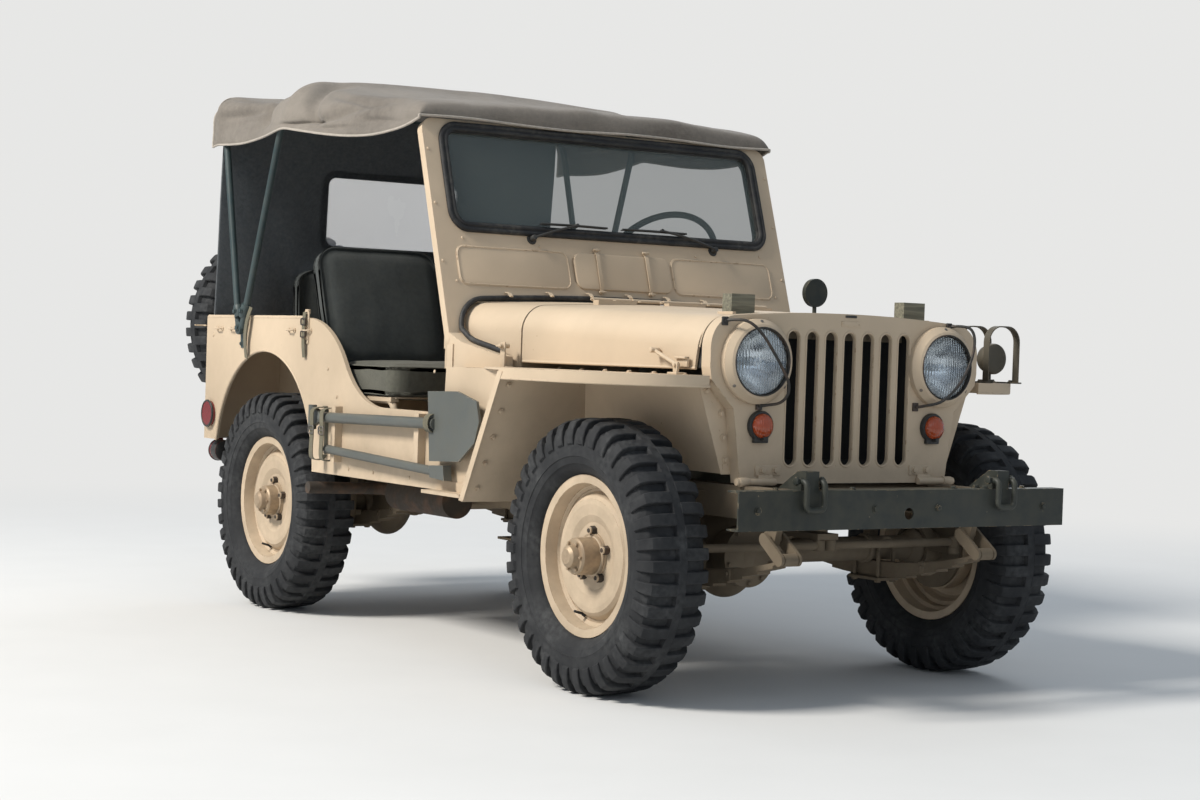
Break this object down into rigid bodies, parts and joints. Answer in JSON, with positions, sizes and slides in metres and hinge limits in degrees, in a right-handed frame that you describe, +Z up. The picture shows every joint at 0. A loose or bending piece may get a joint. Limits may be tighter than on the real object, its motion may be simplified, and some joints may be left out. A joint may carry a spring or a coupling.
{
  "type": "military 4x4 utility car",
  "caption": "Light unarmed military 4x4 car with a slotted grille, canvas soft top, open sides, folding-type windscreen and steering that turns both front wheels.",
  "frame": {"origin": "on the ground at the centre of the bounding box's base", "axes": "+Z up, the front faces -Y, +X is the car's left side, where the steering wheel is"},
  "size_m": [1.566, 3.321, 1.8558],
  "materials": {
    "body_paint": "matt sand paint, worn",
    "wheel_paint": "matt sand paint, chipped",
    "chassis_paint": "dusty sand paint over dark steel",
    "green_paint": "matt dark olive paint",
    "bow_paint": "matt dark green-blue paint",
    "engine_paint": "oily dark cast iron",
    "radiator_black": "matt black",
    "exhaust_steel": "rusty steel",
    "black_metal": "black paint",
    "black_plastic": "black",
    "tyre": "dusty black rubber",
    "rubber": "matt black rubber",
    "clear_lens": "fluted clear glass",
    "amber_lens": "amber",
    "window_glass": "clear glass",
    "window_film": "milky clear sheet",
    "canvas": "khaki canvas",
    "seat_cloth": "dark olive-grey cloth",
    "wood": "bare hardwood"
  },
  "bodies": {
    "car_body": {"chassis_frame": "chassis_paint", "front_bumper": "green_paint", "leaf_springs": "chassis_paint", "front_axle": "chassis_paint", "rear_axle": "chassis_paint", "steering_column": "body_paint", "tub_sides": "body_paint", "tub_floor": "body_paint", "rear_panel": "body_paint", "spare_wheel": "wheel_paint", "spare_tyre": "tyre", "cowl": "body_paint", "front_wings": "body_paint", "grille_panel": "body_paint", "headlights": "body_paint", "headlight_lenses": "clear_lens", "turn_signals": "amber_lens", "radiator": "radiator_black", "engine": "engine_paint", "gearbox": "engine_paint", "propeller_shafts": "chassis_paint", "exhaust": "exhaust_steel", "shock_absorbers": "radiator_black", "windscreen_frame": "body_paint", "windscreen_seal": "rubber", "windscreen_glass": "window_glass", "wipers": "black_metal", "canvas_roof": "canvas", "canopy_bows": "bow_paint", "rear_curtain": "canvas", "rear_window": "window_film", "front_seats": "seat_cloth", "rear_seat": "seat_cloth", "seat_frames": "body_paint", "tail_lamps": "black_metal", "guard_lamp": "black_metal", "mirror": "black_metal", "hand_tools": "green_paint"},
    "knuckle_left": {"knuckle_left": "chassis_paint"},
    "knuckle_right": {"knuckle_right": "chassis_paint"},
    "wheel_front_left": {"wheel_front_left": "wheel_paint", "tyre_front_left": "tyre"},
    "wheel_front_right": {"wheel_front_right": "wheel_paint", "tyre_front_right": "tyre"},
    "wheel_rear_left": {"wheel_rear_left": "wheel_paint", "tyre_rear_left": "tyre"},
    "wheel_rear_right": {"wheel_rear_right": "wheel_paint", "tyre_rear_right": "tyre"},
    "bell_crank": {"bell_crank": "chassis_paint"},
    "tie_rods": {"tie_rods": "chassis_paint"},
    "drag_link": {"drag_link": "chassis_paint"},
    "pitman_arm": {"pitman_arm": "chassis_paint"},
    "steering_wheel": {"steering_wheel": "black_plastic"},
    "bonnet": {"bonnet": "body_paint", "bonnet_blocks": "wood"}
  },
  "joints": [
    {"name": "steer_left", "type": "hinge", "parent": "car_body", "child": "knuckle_left", "pos_m": [0.512, -1.097, 0.378], "axis": [0, 0, 1], "range_deg": [-25, 25]},
    {"name": "steer_right", "type": "hinge", "parent": "car_body", "child": "knuckle_right", "pos_m": [-0.512, -1.097, 0.378], "axis": [0, 0, 1], "range_deg": [-25, 25]},
    {"name": "bell_crank_pivot", "type": "hinge", "parent": "car_body", "child": "bell_crank", "pos_m": [0.02, -1.097, 0.423], "axis": [0, 0, 1], "range_deg": [-25, 25]},
    {"name": "tie_rod_shift", "type": "slide", "parent": "car_body", "child": "tie_rods", "axis": [1, 0, 0], "range_m": [-0.07, 0.07]},
    {"name": "drag_link_shift", "type": "slide", "parent": "car_body", "child": "drag_link", "axis": [0, 1, 0], "range_m": [-0.051, 0.051]},
    {"name": "pitman_pivot", "type": "hinge", "parent": "car_body", "child": "pitman_arm", "pos_m": [0.1585, -0.747, 0.6075], "axis": [1, 0, 0], "range_deg": [-20, 20]},
    {"name": "steering_wheel_turn", "type": "hinge", "parent": "car_body", "child": "steering_wheel", "pos_m": [0.368, 0.096, 1.245], "axis": [0.0893, 0.8001, 0.5931], "range_deg": [-352, 352]},
    {"name": "wheel_spin_front_left", "type": "hinge", "parent": "knuckle_left", "child": "wheel_front_left", "pos_m": [0.6255, -1.097, 0.378], "axis": [1, 0, 0], "continuous": true},
    {"name": "wheel_spin_front_right", "type": "hinge", "parent": "knuckle_right", "child": "wheel_front_right", "pos_m": [-0.6255, -1.097, 0.378], "axis": [1, 0, 0], "continuous": true},
    {"name": "wheel_spin_rear_left", "type": "hinge", "parent": "car_body", "child": "wheel_rear_left", "pos_m": [0.6255, 0.935, 0.378], "axis": [1, 0, 0], "continuous": true},
    {"name": "wheel_spin_rear_right", "type": "hinge", "parent": "car_body", "child": "wheel_rear_right", "pos_m": [-0.6255, 0.935, 0.378], "axis": [1, 0, 0], "continuous": true},
    {"name": "bonnet_lift", "type": "hinge", "parent": "car_body", "child": "bonnet", "pos_m": [0, -0.551, 1.094], "axis": [-1, 0, 0], "range_deg": [0, 100]}
  ],
  "couplings": [
    {"joint": "steer_right", "follows": "steer_left", "ratio": 1},
    {"joint": "bell_crank_pivot", "follows": "steer_left", "ratio": 1},
    {"joint": "tie_rod_shift", "follows": "steer_left", "m_per_rad": 0.15981},
    {"joint": "drag_link_shift", "follows": "steer_left", "m_per_rad": 0.11623},
    {"joint": "pitman_pivot", "follows": "steer_left", "ratio": 0.77431},
    {"joint": "steering_wheel_turn", "follows": "steer_left", "ratio": 14}
  ]
}
